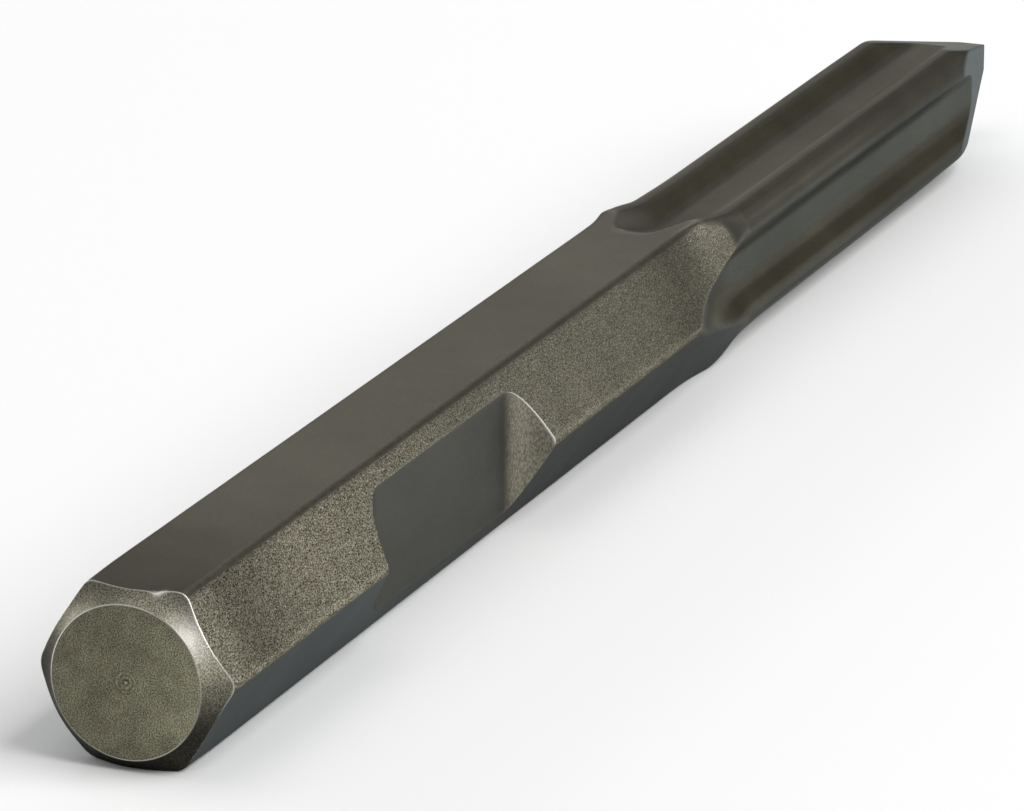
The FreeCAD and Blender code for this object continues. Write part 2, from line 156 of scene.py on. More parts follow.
# a smooth value between the entries of a table that goes round the axis in steps of 30 degrees
def roundTable(table, angle):
    values = np.array([table[k] for k in sorted(table)])
    turn = (np.asarray(angle, float) + 150.0) / 30.0
    k = np.floor(turn).astype(int)
    t = turn - k
    a, b, c, d = (values[(k + step) % 12] for step in (-1, 0, 1, 2))
    return b + 0.5 * t * (c - a + t * (2 * a - 5 * b + 4 * c - d + t * (3 * (b - c) + d - a)))


# every surface is given by its reach from the axis, at a station x and in a direction; this is the
# hexagon with its rounded corners, and the swell where the pressed metal fills them
def hexagonReach(x, angle):
    corner = 60.0 * np.round(angle / 60.0)
    up = degSin(angle) > 0
    upper, lower, knuckle, front = (
        bar["upperSwell"], bar["lowerSwell"], bar["knuckle"], bar["frontRound"])

    def swell(name):
        return np.where(up, upper[name], lower[name])

    full = swell("full")
    growth = swell("growth") * ease((x - bar["swellFlats"]) / (full - bar["swellFlats"]))

    def flatAt(normal):
        return bar["halfFlats"] + np.where(np.abs(degCos(normal)) < 0.01, 0.0, growth)

    low, high = flatAt(corner - 30.0), flatAt(corner + 30.0)
    flat = np.minimum(low / degCos(angle - corner + 30.0), high / degCos(angle - corner - 30.0))
    mean = (low + high) / 2
    turn = np.degrees(np.arctan((high - low) / (2 * mean * math.tan(math.radians(30)))))
    share = ease((x - bar["swellCorners"]) / (full - bar["swellCorners"]))
    rolled = np.where(corner == 120.0, bar["farCornerRound"], bar["cornerRound"])
    rounding = rolled + share * (swell("cornerRound") - rolled)
    rounding = rounding + front["more"] * ease((front["upTo"] - x) / front["fade"])
    centre = (mean - rounding) / degCos(30)
    delta = np.radians(angle - corner - turn)
    tangent = np.arctan2(rounding * 0.5, centre + rounding * degCos(30))
    inside = np.maximum(rounding ** 2 - (centre * np.sin(delta)) ** 2, 0.0)
    arc = centre * np.cos(delta) + np.sqrt(inside)
    sharp = mean / np.cos(np.radians(30) - np.abs(delta))
    reach = flat - np.where(np.abs(delta) < tangent, np.maximum(sharp - arc, 0.0), 0.0)
    pressed = hump(np.abs(offBy(angle, 180.0)), knuckle["aside"], knuckle["wide"])
    reach = reach + swell("knuckle") * pressed * hump(x, swell("knuckleAt"), knuckle["long"])
    level = np.maximum(np.abs(degSin(angle)), 0.1)  # the upper and lower flats stay level
    return np.minimum(reach, (bar["halfFlats"] - bar["levelShort"]) / level)


# half of the groove's section, from the middle of its floor to the middle of the rib and past it
def grooveOutline():
    reach, edge, fillet = working["crestReach"], working["ribEdgeRound"], working["grooveFillet"]
    halfRib, floor, diag = working["ribWidth"] / 2, working["grooveFloor"], math.sqrt(0.5)
    count = working["outlinePoints"]
    along = reach - edge
    edgeAt = ((along - halfRib + edge) * diag, (along + halfRib - edge) * diag)
    halfFloor = floor + fillet * (1 - diag) - halfRib / diag - fillet * diag
    points = [(u, floor) for u in np.linspace(0, halfFloor, count["floor"])]
    for a in np.radians(np.linspace(0, 45, count["fillet"])[1:]):
        points.append((halfFloor + fillet * math.sin(a), floor + fillet * (1 - math.cos(a))))
    start, stop = points[-1], (edgeAt[0] - edge * diag, edgeAt[1] + edge * diag)
    for t in np.linspace(0, 1, count["flank"])[1:]:
        points.append((start[0] + t * (stop[0] - start[0]), start[1] + t * (stop[1] - start[1])))
    for a in np.radians(np.linspace(135, 45, count["edge"])[1:]):
        points.append((edgeAt[0] + edge * math.cos(a), edgeAt[1] + edge * math.sin(a)))
    total = sum(points[-1])
    points += [(total / 2, total / 2), (total * 0.7, total * 0.3), (total, 0.0)]
    return np.array(points)


outline = grooveOutline()


# how far the groove's section stands out from its full depth: a ramp, then a long arc
def grooveLift(x):
    radius, angle = working["runoutRadius"], math.radians(working["rampAngle"])
    back = np.maximum(working["fullDepthAt"] - x, 0.0)
    turn = radius * math.sin(angle)
    onArc = radius - np.sqrt(np.maximum(radius ** 2 - np.minimum(back, turn) ** 2, 0.0))
    return onArc + np.maximum(back - turn, 0.0) * math.tan(angle)


# the grooves and crests; points with the same lift are looked up together
def grooveReach(x, angle):
    later, rise, droop = working["lowerIsLater"], working["crestRise"], working["crestDroop"]
    off = np.abs(offBy(angle, 90.0))
    below = np.degrees(np.arcsin(np.clip(-degSin(angle), 0.0, 1.0)))
    late = later["by"] * ease(below / later["over"])
    lifts, which = np.unique(np.round(grooveLift(x - late), 3), return_inverse=True)
    order = np.argsort(which, kind="stable")
    groups = np.split(order, np.cumsum(np.bincount(which, minlength=len(lifts)))[:-1])
    reach = np.empty(x.shape)
    for lift, group in zip(lifts, groups):
        turned = np.degrees(np.arctan2(outline[:, 0], outline[:, 1] + lift))
        reach[group] = np.interp(off[group], turned, np.hypot(outline[:, 0], outline[:, 1] + lift))
    lower = below > 1.0
    extra = rise["high"] * hump(x, rise["at"], rise["long"])
    extra = extra + rise["tail"] * hump(x, rise["tailAt"], rise["tailLong"])
    extra = extra * np.where(lower, rise["lowerShare"], 1.0)
    worn = np.where(lower, droop["lower"], droop["upper"])
    worn = worn * ease((x - droop["from"]) / droop["over"])
    return reach + hump(off, 45.0, rise["wide"]) * (extra - worn)


def pointReach(x, angle):
    blunt, slope = working["endBlunt"], math.tan(math.radians(working["pointAngle"]))
    half = working["pointEnd"] / 2 + (bar["length"] - x) * slope
    off = np.abs(offBy(angle, 90.0))
    beside = np.maximum(degCos(90.0 - off), 0.05)
    reach = softMin(half / degCos(off), half / beside, working["ridgeSoft"])
    return reach - blunt["deep"] * np.clip((x - bar["length"]) / blunt["long"] + 1, 0, 1) ** 2


def pointSoft(angle):
    soft = working["pointSoft"]
    ribs = np.where(degSin(angle) > 0, soft["upperRibs"], soft["lowerRibs"])
    share = hump(np.abs(offBy(angle, 90.0)), 45.0, soft["wide"])
    return soft["facets"] + (ribs - soft["facets"]) * share


# how far the chamfer's hollow dips below a straight cone
def hollowDip(x):
    along = x / strikingEnd["hollow"]["long"]
    return 4 * strikingEnd["hollow"]["deep"] * along * (1 - along)


# the chamfer was turned off centre, so how steep it is changes round the face
def chamferSlopes():
    slopes = {}
    for angle, station in strikingEnd["rimAt"].items():
        reach = float(hexagonReach(np.array([strikingEnd["barAt"]]), np.array([float(angle)]))[0])
        slopes[angle] = (reach - strikingEnd["faceRadius"] + hollowDip(station)) / station
    return slopes


slopes = chamferSlopes()


def hollowReach(x, angle):
    bevel = strikingEnd["faceBevel"] * np.clip(1 - x / strikingEnd["faceBevel"], 0, 1) ** 2
    return strikingEnd["faceRadius"] + roundTable(slopes, angle) * x - hollowDip(x) - bevel


def notchReach(x, angle):
    over = np.maximum(np.maximum(notch["start"] - x, x - notch["end"]), 0.0)
    radius = notch["endRadius"]
    depth = notch["floor"] + radius - np.sqrt(np.maximum(radius ** 2 - over ** 2, 0.0))
    facing, least, clear = degCos(angle), 0.3, 99.0
    return np.where((over < radius) & (facing > least), depth / np.maximum(facing, least), clear)


# the bar's rolled skin: slight hollows, a rough front edge, and a nick in the upper flat's edge
def skinLoss(x, angle):
    hollows, rough, nick = bar["hollows"], strikingEnd["rough"], strikingEnd["nick"]
    across, up = degCos(angle), degSin(angle)
    places = np.stack([x, across * hollows["reach"], up * hollows["reach"]], axis=-1)
    dips = np.array([noise.noise(Vector(p) / hollows["apart"]) for p in places])
    loss = hollows["deep"] * (0.5 + 0.5 * dips)
    y = -bar["halfFlats"] * across / np.maximum(up, 0.2)
    dent = (up > 0.7) * hump(y, nick["y"], nick["width"]) * hump(x, 0, nick["length"])
    front = x < rough["upTo"]
    wander = np.zeros_like(x)
    wander[front] = [noise.noise(Vector(p) / rough["apart"]) for p in places[front] * (0, 1, 1)]
    wander = rough["deep"] * (0.5 + 0.5 * wander) * ease((rough["upTo"] - x) / rough["fade"])
    return loss + nick["depth"] * dent + wander


def bitReach(x, angle):
    reach = hexagonReach(x, angle) - skinLoss(x, angle)
    ribs, point, end = x > working["from"], x > working["pointFrom"], x < strikingEnd["upTo"]
    reach[ribs] = softMin(reach[ribs], grooveReach(x[ribs], angle[ribs]), working["rimSoft"])
    cut = pointReach(x[point], angle[point])
    reach[point] = softMin(reach[point], cut, pointSoft(angle[point]))
    reach = softMin(reach, notchReach(x, angle), notch["rimSoft"])
    turned = hollowReach(x[end], angle[end])
    reach[end] = softMin(reach[end], turned, strikingEnd["rimSoft"])
    return reach


# columns round the shank, close together at the corners and at the notch's long edges; they
# start with the middle of the corner opposite the notch
def shankColumns():
    fine = math.degrees(math.atan2(bar["cornerColumns"]["halfWide"], bar["cornerColumns"]["reach"]))
    edge = notch["longEdge"]
    before, after = edge - notch["besideEdge"], edge + notch["besideEdge"]
    angles = []
    for k in range(6):
        corner = -180.0 + 60.0 * k
        span = list(np.linspace(fine, 60 - fine, 25)[:-1])
        if corner == 0.0:
            span = list(np.linspace(fine, before, 19)[:-1]) + [before, edge]
            span += list(np.linspace(after, 60 - fine, 5)[:-1])
        if corner == -60.0:
            span = [60 - v for v in np.linspace(60 - fine, after, 5)]
            span += [60 - edge] + [60 - v for v in np.linspace(before, fine, 19)[:-1]]
        angles += [corner + v for v in list(np.linspace(-fine, fine, 9)[:-1]) + span]
    angles = np.roll(angles, -4)
    angles[-4:] += 360.0
    return angles


# columns round the ribs, evenly along the groove's own outline
def ribColumns():
    half = outline[:-2]
    turned = np.degrees(np.arctan2(half[:, 0], half[:, 1]))
    steps = np.r_[0, np.cumsum(np.hypot(*np.diff(half, axis=0).T))]
    side = np.interp(np.linspace(0, steps[-1], bar["columns"] // 8 + 1), steps, turned)
    angles = []
    for k in range(4):
        middle = -180.0 + 90.0 * k
        angles += [middle + v for v in side] + [middle + 90.0 - v for v in side[1:-1][::-1]]
    return np.array(angles)


# where the surfaces meet, as a station for each column, so that the rows follow the edges
def hollowRim(angle):
    stations = np.linspace(*strikingEnd["rimSearch"])
    rim = []
    for a in angle:
        turned = np.full_like(stations, a)
        rolled = hexagonReach(stations, turned) - skinLoss(stations, turned)
        rim.append(np.interp(0.0, hollowReach(stations, turned) - rolled, stations))
    return np.array(rim)


def notchRim(angle, side):
    middle = np.full_like(angle, notch["measuredAt"][0 if side < 0 else 1])
    depth = (hexagonReach(middle, angle) - skinLoss(middle, angle)) * degCos(angle)
    radius = notch["endRadius"]
    over = np.clip(depth - notch["floor"], 0.0, radius)
    facing = np.abs(offBy(angle, 360.0)) < notch["longEdge"] + 2 * notch["besideEdge"]
    out = np.where(facing, np.sqrt(radius ** 2 - (radius - over) ** 2), 0.0)
    return notch["start"] - out if side < 0 else notch["end"] + out


def pointRim(angle):
    deep = np.full_like(angle, working["pointFrom"])
    reach = np.minimum(hexagonReach(deep, angle), grooveReach(deep, angle))
    half = reach * degCos(offBy(angle, 90.0))
    slope = math.tan(math.radians(working["pointAngle"]))
    return bar["length"] - (half - working["pointEnd"] / 2) / slope


def even(start, stop, count):
    return list(np.linspace(start, stop, count + 1)[1:])


# each stage of the mesh: the station where it ends, its finish, and how far on its rows lie
shankAngles, ribAngles = shankColumns(), ribColumns()
ones = np.ones(bar["columns"])
hollowEdge, facets = hollowRim(shankAngles), pointRim(ribAngles)
nearEnd, farEnd = notchRim(shankAngles, -1), notchRim(shankAngles, 1)
stages = [
    (ones * 0.0, "face", [0.0]),
    (hollowEdge - 0.3, "hollow", [0.015, 0.035, 0.07, 0.13] + even(0.2, 1.0, 8)),
    (hollowEdge, "hollow", [0.4, 0.7, 0.87, 1.0]),
    (hollowEdge + 0.3, "bar", [0.13, 0.3, 0.6, 1.0]),
    (ones * 10.0, "bar", [0.1, 0.22, 0.36, 0.5, 0.75, 1.0]),
    (ones * 58.0, "bar", even(0, 1, 14)),
    (nearEnd, "bar", [0.3, 0.6, 0.8, 0.9, 0.96, 0.985, 1.0]),
    (ones * 76.0, "notch", [0.01, 0.03] + even(0.03, 1, 16)),
    (ones * 123.0, "notch", even(0, 1, 8)),
    (farEnd - 0.3, "notch", even(0, 1, 18)),
    (farEnd, "notch", [0.5, 0.8, 1.0]),
    (farEnd + 0.4, "bar", [0.1, 0.3, 1.0]),
    (ones * 142.0, "bar", [0.06, 0.2, 0.4, 0.7, 1.0]),
    (ones * 200.0, "bar", even(0, 1, 16)),
    (ones * 252.0, "ribs", even(0, 1, 190)),
    (ones * 345.0, "ribs", even(0, 1, 27)),
    (facets, "ribs", [0.25, 0.45, 0.6, 0.72, 0.82, 0.91, 1.0]),
    (ones * 400.0, "point", [0.03, 0.07, 0.11, 0.16] + even(0.16, 0.97, 14) + [0.99, 0.995, 1.0]),
]
rows, zones = [], []
before = ones * 0.0
for after, zone, steps in stages:
    rows += [before + (after - before) * t for t in steps]
    zones += [zone] * len(steps)
    before = after
gridX = np.array(rows)
turnIn = ease((gridX - bar["columnsTurn"]["from"]) / bar["columnsTurn"]["over"])
gridAngle = shankAngles * (1 - turnIn) + ribAngles * turnIn
gridReach = bitReach(gridX.ravel(), gridAngle.ravel()).reshape(gridX.shape)
print("surface worked out on", gridX.shape[0], "rows of", gridX.shape[1])


def ring(x, angle, reach):
    places = [np.broadcast_to(x, angle.shape), -reach * degCos(angle), reach * degSin(angle)]
    return np.stack(places, axis=-1)


# the turned face has a small dot in a shallow dish with a fine ring round it
def faceDepth(reach):
    dish, ringed, dot = strikingEnd["dish"], strikingEnd["ring"], strikingEnd["dot"]
    depth = dish["deep"] * ease((ringed["radius"] - reach) / dish["fade"])
    depth = depth + ringed["deep"] * hump(reach, ringed["radius"], ringed["wide"])
    return depth - dot["high"] * ease(dot["round"] - reach / dot["radius"])


def buildBit():
    columns, faceRings, endRings = bar["columns"], strikingEnd["faceRings"], working["endRings"]
    rings = [ring(faceDepth(reach), shankAngles, np.full(columns, reach)) for reach in faceRings]
    rings += [ring(*row) for row in zip(gridX, gridAngle, gridReach)]
    rings += [ring(gridX[-1], gridAngle[-1], gridReach[-1] * inner) for inner in endRings]
    ringZones = ["face"] * len(faceRings) + zones + ["end"] * len(endRings)
    points = np.concatenate(rings + [[[faceDepth(0.0), 0, 0], [bar["length"], 0, 0]]])
    stepOn = offBy(np.roll(shankAngles, -1) - shankAngles, 360.0)
    inNotch = np.abs(offBy(shankAngles + stepOn / 2, 360.0)) < notch["longEdge"]
    faces, kinds = [], []
    for row in range(len(rings) - 1):
        zone = ringZones[row + 1]
        for c in range(columns):
            here, beside = row * columns + c, row * columns + (c + 1) % columns
            faces.append((here, here + columns, beside + columns, beside))
            kinds.append("bar" if zone == "notch" and not inNotch[c] else zone)
    pole, last = len(rings) * columns, (len(rings) - 1) * columns
    for c in range(columns):
        beside = (c + 1) % columns
        faces += [(pole, c, beside), (pole + 1, last + beside, last + c)]
        kinds += ["face", "end"]
    mesh = bpy.data.meshes.new("forged_bit")
    mesh.from_pydata((points * mm).tolist(), [], faces)
    mesh.polygons.foreach_set("use_smooth", [True] * len(faces))
    made = bpy.data.objects.new("forged_bit", mesh)
    scene.collection.objects.link(made)
    solid = bmesh.new()
    solid.from_mesh(mesh)
    volume = round(solid.calc_volume(signed=True) * 1e6, 2)
    solid.free()
    print("bit built:", sum(len(f) - 2 for f in faces), "triangles,", volume, "cm3")
    return made, kinds


bit, kinds = buildBit()

# how light each part of the finish is, by station along the bit; round the chamfer, by
# direction, this is painted light and shade
tones = {
    "upperFlat": ([2, 12, 35, 60, 110, 210], [0.72, 0.80, 1.00, 1.12, 1.16, 1.17]),
    "upperSide": ([4, 8.5, 14, 26, 44, 58, 100, 145, 180, 195, 205, 214, 222, 231],
                  [1.40, 1.40, 0.88, 1.10, 1.60, 1.40, 1.46, 1.44, 1.40, 1.14, 0.97, 1.22, 1.65,
                   1.85]),
    # painted shade on the lower side flats, by station
    "shadedLowerSide": ([12, 58, 75, 130, 145, 205, 225], [0.98, 1.04, 0.95, 0.78, 0.74, 0.78, 0.95]),
    # painted shade where the notch's floor meets its ramp, then painted light up the ramp
    "notchRamp": ([121.0, 126.2, 127.0, 129.0, 131.0, 133.0, 134.6],
                  [1.0, 0.80, 0.78, 1.08, 1.16, 0.90, 0.78]),
    "notchFloor": ((-10, 10), (0.90, 1.0)),
    # round the chamfer: painted highlights at the upper right and painted shade on the lower side
    "chamfer": {-150: 0.15, -120: 0.13, -90: 0.12, -60: 0.10, -30: 0.11, 0: 0.43,
                30: 1.01, 60: 0.41, 90: 0.57, 120: 0.42, 150: 0.28, 180: 0.115},
    # painted highlights on the chamfer: strength, direction and width
    "chamferHighlights": ((0.45, 16, 9), (0.6, 73, 10), (0.22, 138, 10)),
}

# what lies round given directions of the bit, or shows where the surface faces given directions:
# those directions, how far it reaches each way, and the degrees over which it fades
around = {
    "upperSide": ((27.2, 152.8), 30.1, 1.5),
    "shadedLowerSide": ((-31.5, -148.5), 28.5, 2.0),
    "notchCorner": ((1.5,), 2.5, 1.5),
    "glare": ((39,), 16, 13),
    "faceRimUpper": ((125,), 60, 25),
    "faceRimLower": ((-90,), 45, 20),
    "notchEnd": ((22,), 22, 3),
}
facing = {
    "upperFlat": ((90,), 18, 9),
    "upperSide": ((30, 150), 18, 9),
    "shadedLowerSide": ((-30, -150), 18, 9),
    "runout": ((46,), 12, 10),
    "ribSide": ((2,), 14, 10),
    "fillet": ((118,), 18, 8),
    # brown scale with painted shade where the rib flanks face up and to the side
    "brownShadedFlank": ((46,), 7, 6),
    # a painted cool reflection where the ribs face sideways and downwards
    "coolReflection": ((-20,), 30, 12),
    # painted shadow where the ribs face down, below their edges
    "shadowUnderFillet": ((-38,), 12, 15),
    "shadowUnderFilletTop": ((-22,), 8, 8),
    "litSide": ((32,), 12, 4),
    "litUpper": ((122,), 18, 14),
    # painted light where the surface faces up
    "litFromAbove": ((90,), 30, 15),
}

# the station where a change starts, and the length over which it runs, towards the face if negative
fades = {
    "lowerFar": (60.0, 80.0),
    "frontGrain": (120.0, -70.0),
    "cornerThins": (60.0, 100.0),
    "cornerEnds": (232.0, -8.0),
    "ramp": (125.4, 4.0),
    "runout": (238.0, -18.0),
    "ribSide": (290.0, 40.0),
    "fillet": (300.0, 30.0),
    "crestEdge": (290.0, 30.0),
    "brownUpper": (225.0, 20.0),
    "brownLower": (219.0, 20.0),
    # where the painted shadow below the rib edges starts
    "shadowUnderFillet": (232.0, 60.0),
    "shadowUnderFilletTop": (225.0, 20.0),
    "litSide": (285.0, 45.0),
}

# painted highlights and painted shade: how much lighter than 1 the tone gets at each
# of these places
lightAndShade = {
    "grooveRim": 0.30,
    "notchCorner": 0.12,
    "runout": 0.8,
    "ribSide": {"more": -0.25, "beyond": 13.0},
    "filletStart": {"more": 0.20, "x": 246.0, "long": 18.0},
    "filletEnd": -0.12,
    "crestEdge": {"more": 0.3, "angle": 40.5, "wide": 2.0, "from": 240.0},
    "upperCorner": {"more": 0.45, "angle": 60.6, "wide": 1.4},
}

# where the bar gives way to the grooves, the rim between them, and how far out the crests are
grooveEdge = {"soft": 0.55, "rimAt": 0.1, "rimWide": 0.45, "rimUpTo": 240.0, "crestBeyond": 13.8}

# the speckled side ends in a curve, which reaches furthest at one direction from the top
speckled = {"upTo": 231.5, "fromTop": 52.0, "above": 9.0, "below": 3.0, "over": 20.0, "fade": 3.5}

# the dark line beside the upper flat
cornerLine = {"fromTop": 30.8, "wide": 2.1, "thins": 0.35, "clear": 0.3, "fade": 2.0}

# the brown flanks, brown scale with painted shade, fainter along the crests and at a bright line
# beside one of them
brownShadedFlank = {"fainter": 0.55, "wide": 8.0, "lineAt": 40.0, "lineWide": 2.5, "upperFrom": 6.0}

# painted highlights on rims and spots, and a lighter line along one long edge of the notch: how
# strong, where, and how wide
brightRimsAndSpots = {
    "chamferRim": {"wide": 0.10, "upTo": 10.0},
    "nick": {"strong": 1.4, "aside": -0.3, "wide": 0.8, "past": 0.1, "long": 0.5, "above": 12.0},
    "spot": {"strong": 0.8, "x": 213.4, "y": 2.2, "wide": 0.5, "above": 13.0},
    "faceRim": {"reach": 12.16, "wide": 0.065, "upTo": 0.4,
                "all": 0.35, "upper": 1.1, "lower": 0.5},
    "notchEnd": {"strong": 1.3, "wide": 0.13, "from": 126.5},
    "notchEdge": {"wide": 0.5, "from": 72.0, "upTo": 127.0},
}

# the milled floor, told from the bar round it by how much deeper it lies
milled = {"from": 64.0, "upTo": 136.0, "deeper": 0.08}

# the turned face has painted light and shade: it is lighter to the right, darker below, and has a
# painted highlight near its middle; its tool marks go from the middle outwards, each with its
# strength, radius and width
faceTones = {
    "upTo": 0.6,
    "within": 12.1,
    "toLeft": -0.016,
    "below": {"more": -0.16, "from": 4.0, "over": 6.0},
    "light": {"more": 0.15, "y": -4.0, "z": -3.0, "wide": 5.0},
    "rim": {"more": 0.20, "from": 6.0, "over": 4.0, "high": 8.0},
    "marksStrong": 1.6,
    "marks": ((0.8, 0, 0.22), (-0.35, 0.45, 0.15), (0.22, 0.8, 0.14),
              (-0.14, 1.15, 0.15), (0.26, 1.5, 0.12), (-0.18, 1.75, 0.12)),
}


# 1 within reach degrees of any of the middle directions, fading over twice the soft width
def near(angle, middles, reach, soft):
    aside = np.min([np.abs(offBy(angle - middle, 360.0)) for middle in middles], axis=0)
    return ease((reach + soft - aside) / (2 * soft))


# every point of the mesh: its place, its direction, and the direction that its surface faces
class Places:
    def __init__(self, mesh):
        spots, normals = np.empty(len(mesh.vertices) * 3), np.empty(len(mesh.vertices) * 3)
        mesh.vertices.foreach_get("co", spots)
        mesh.vertices.foreach_get("normal", normals)
        x, y, z = spots.reshape(-1, 3).T / mm
        self.x, self.y, self.z = x, y, z
        self.angle, self.reach = np.degrees(np.arctan2(z, -y)), np.hypot(y, z)
        self.fromTop = np.abs(offBy(self.angle - 90.0, 360.0))
        normals = normals.reshape(-1, 3)
        self.towards = np.degrees(np.arctan2(normals[:, 2], -normals[:, 1]))
        self.ribbed = x > working["from"]
        self.crest = self.reach > grooveEdge["crestBeyond"]
        ordered = np.argsort(shankAngles)
        sides = shankAngles[ordered]
        self.hollowAt = np.interp(self.angle, sides, hollowEdge[ordered], period=360.0)
        self.farAt = np.interp(self.angle, sides, farEnd[ordered], period=360.0)
        self.onBar, self.grooveRim = np.ones_like(x), np.zeros_like(x)
        ribs, turned, edge = x[self.ribbed], self.angle[self.ribbed], grooveEdge
        spare = grooveReach(ribs, turned) - hexagonReach(ribs, turned)
        self.onBar[self.ribbed] = ease(spare + edge["soft"])
        rim = hump(spare, edge["rimAt"], edge["rimWide"])
        self.grooveRim[self.ribbed] = rim * (ribs < edge["rimUpTo"])

    def around(self, name):
        return near(self.angle, *around[name])

    def facing(self, name):
        return near(self.towards, *facing[name])

    def fade(self, name):
        start, length = fades[name]
        return ease((self.x - start) / length)


def upperSideShare(at):
    aside = (speckled["fromTop"] - at.fromTop) / speckled["over"]
    end = speckled["upTo"] - np.where(aside > 0, speckled["above"], speckled["below"]) * aside ** 2
    return at.around("upperSide") * at.onBar * ease((end - at.x) / speckled["fade"] + 0.5)


def darkCornerLineShare(at):
    line = hump(at.fromTop, cornerLine["fromTop"], cornerLine["wide"])
    line = line * (1 - cornerLine["thins"] * at.fade("cornerThins")) * at.fade("cornerEnds")
    return line * ease((at.x - at.hollowAt - cornerLine["clear"]) / cornerLine["fade"]) * at.onBar


def brownShare(at):
    crest = hump(np.abs(offBy(at.angle, 90.0)), 45.0, brownShadedFlank["wide"]) * at.crest
    line = hump(at.angle, brownShadedFlank["lineAt"], brownShadedFlank["lineWide"]) * at.crest
    upper = at.z > brownShadedFlank["upperFrom"]
    share = at.facing("brownShadedFlank") * (1 - brownShadedFlank["fainter"] * crest) * (1 - line)
    return share * np.where(upper, at.fade("brownUpper"), at.fade("brownLower"))


def rimShares(at):
    nick, spot, face, end = brightRimsAndSpots["nick"], brightRimsAndSpots["spot"], brightRimsAndSpots["faceRim"], brightRimsAndSpots["notchEnd"]
    edge, side = brightRimsAndSpots["chamferRim"], brightRimsAndSpots["notchEdge"]
    # painted highlights along the chamfer's rim, by direction, at the nick and on a spot
    rim = (at.x < edge["upTo"]) * hump(at.x, at.hollowAt, edge["wide"])
    rim = rim * roundTable(strikingEnd["rimShine"], at.angle)
    dent = hump(at.y, strikingEnd["nick"]["y"] + nick["aside"], nick["wide"])
    dent = dent * (at.z > nick["above"])
    rim = rim + nick["strong"] * dent * hump(at.x, at.hollowAt + nick["past"], nick["long"])
    bright = hump(at.x, spot["x"], spot["wide"]) * hump(at.y, spot["y"], spot["wide"])
    rim = rim + spot["strong"] * bright * (at.z > spot["above"])
    # a painted highlight round the face's rim, strongest round its upper side
    faceRim = (at.x < face["upTo"]) * hump(at.reach, face["reach"], face["wide"])
    faceRim = faceRim * (face["all"] + face["upper"] * at.around("faceRimUpper")
                         + face["lower"] * at.around("faceRimLower"))
    # a painted highlight along the notch's far end
    farRim = end["strong"] * hump(at.x, at.farAt, end["wide"]) * at.around("notchEnd")
    inside = (at.x > side["from"]) & (at.x < side["upTo"])
    return {
        "rim": np.minimum(rim, 1),
        "faceRim": np.minimum(faceRim, 1),
        "farRim": np.minimum(farRim * (at.x > end["from"]), 1),
        "notchEdge": hump(at.angle, notch["longEdge"], side["wide"]) * inside,
    }


def barTone(at, upperSide):
    tone = np.ones_like(at.x)
    behind = at.onBar * (at.x > at.hollowAt - 0.1)
    for name, covered in (("upperFlat", 1.0), ("upperSide", upperSide), ("shadedLowerSide", 1.0)):
        tone *= 1 + at.facing(name) * behind * covered * (np.interp(at.x, *tones[name]) - 1)
    start, edge = lightAndShade["filletStart"], lightAndShade["crestEdge"]
    corner, side = lightAndShade["upperCorner"], lightAndShade["ribSide"]
    # painted highlights along the groove rims and along the notched corner
    tone *= (1 + lightAndShade["grooveRim"] * at.grooveRim
             + lightAndShade["notchCorner"] * at.around("notchCorner") * at.onBar)
    # a painted glow on the run-outs
    runout = (1 - at.onBar) * at.facing("runout") * at.fade("runout") * at.ribbed
    tone *= 1 + lightAndShade["runout"] * runout
    # painted shade on the rib sides
    onSide = at.facing("ribSide") * at.fade("ribSide") * (at.reach > side["beyond"])
    tone *= 1 + side["more"] * onSide
    # painted light near the start of the fillets and painted shade further on
    fillet = start["more"] * hump(at.x, start["x"], start["long"])
    fillet = fillet + lightAndShade["filletEnd"] * at.fade("fillet")
    tone *= 1 + (1 - at.onBar) * at.facing("fillet") * fillet
    # a painted highlight along one crest edge
    lit = hump(at.angle, edge["angle"], edge["wide"]) * at.crest * (at.x > edge["from"])
    tone *= 1 + edge["more"] * lit * (1 - at.fade("crestEdge"))
    # a painted highlight along the upper corner
    tone *= 1 + corner["more"] * hump(at.angle, corner["angle"], corner["wide"]) * at.onBar
    return tone


def notchTone(at, tone):
    deeper = hexagonReach(at.x, at.angle) - at.reach > milled["deeper"]
    inNotch = deeper & (at.x > milled["from"]) & (at.x < milled["upTo"])
    ramp = tones["notchRamp"]
    tone = np.where(inNotch, np.interp(at.z, *tones["notchFloor"]), tone)
    # painted shade and painted light where the floor meets the ramp
    return np.where(inNotch & (at.x > ramp[0][0]), tone * np.interp(at.x, *ramp), tone)


def endTone(at, tone):
    below, light, rim = faceTones["below"], faceTones["light"], faceTones["rim"]
    onFace = (at.x < faceTones["upTo"]) & (at.reach < faceTones["within"])
    # painted highlights and painted shade round the chamfer, by direction
    chamfer, more = roundTable(tones["chamfer"], at.angle), 1.0
    for strong, angle, wide in tones["chamferHighlights"]:
        more = more + strong * hump(at.angle, angle, wide)
    tone = np.where((at.x < at.hollowAt) & ~onFace, chamfer * more, tone)
    # painted light and shade across the face
    worked = 1 + faceTones["toLeft"] * at.y
    worked = worked + below["more"] * ease((-at.z - below["from"]) / below["over"])
    aside = np.hypot(at.y - light["y"], at.z - light["z"])
    worked = worked + light["more"] * hump(aside, 0, light["wide"])
    outer = ease((at.reach - rim["from"]) / rim["over"])
    worked = worked + rim["more"] * outer * (1 - ease(at.z / rim["high"]))
    cut = sum(strong * hump(at.reach, radius, wide) for strong, radius, wide in faceTones["marks"])
    return np.where(onFace, worked + faceTones["marksStrong"] * cut, tone)


